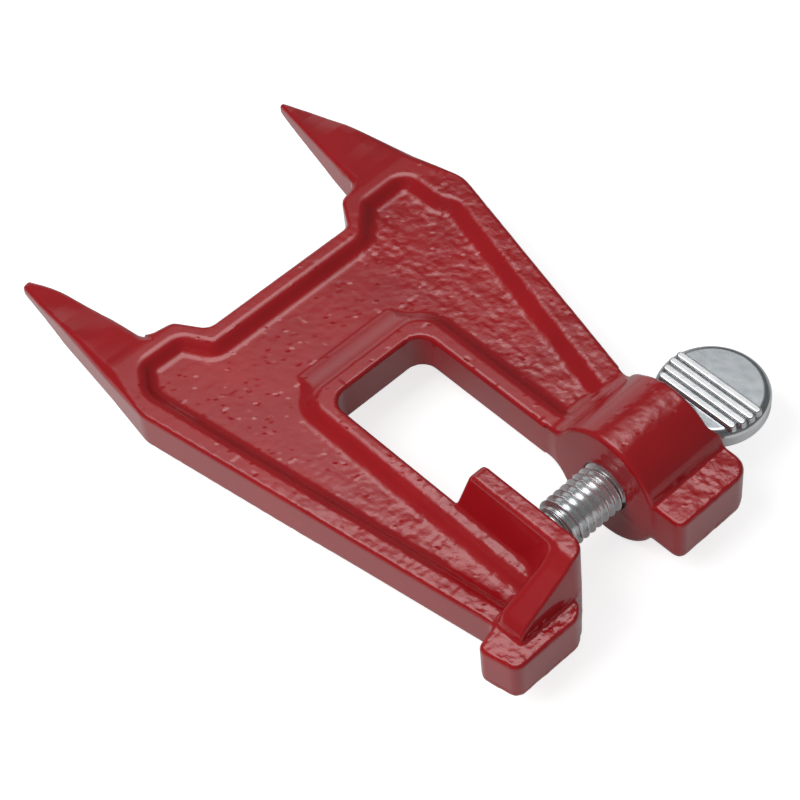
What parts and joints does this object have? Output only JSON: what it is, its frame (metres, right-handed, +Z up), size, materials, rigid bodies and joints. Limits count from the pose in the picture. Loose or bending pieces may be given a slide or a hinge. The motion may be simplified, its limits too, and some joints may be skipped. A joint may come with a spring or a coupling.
{
  "type": "chainsaw bar vise",
  "caption": "Cast stump vise with two spikes, two striking feet and a fixed jaw, and a thumb screw that clamps a saw bar while its chain is filed.",
  "frame": {"origin": "under the middle of the whole vise's box, with the casting's parting plane level 14.3 mm above it", "axes": "+X from the spikes towards the striking feet; +Y from the fixed jaw towards the thumb screw's head, along the screw; +Z up, square to the plate"},
  "size_m": [0.1466, 0.0976, 0.0286],
  "materials": {
    "red_enamel": "glossy deep red enamel on a rough iron casting",
    "zinc_plate": "bright zinc plating, slightly bluish, on turned and cast steel"
  },
  "bodies": {
    "frame": {"vise_frame": "red_enamel"},
    "point": {"screw_point": "zinc_plate"},
    "screw": {"thumb_screw": "zinc_plate"}
  },
  "joints": [
    {"name": "screw_travel", "type": "slide", "parent": "frame", "child": "point", "axis": [0, 1, 0], "range_m": [0, 0.0174]},
    {"name": "screw_turn", "type": "hinge", "parent": "point", "child": "screw", "pos_m": [0.0533, 0.02476, 0.0143], "axis": [0, 1, 0], "range_deg": [0, 3480]}
  ],
  "couplings": [
    {"joint": "screw_turn", "follows": "screw_travel", "rad_per_m": 3490.7}
  ]
}
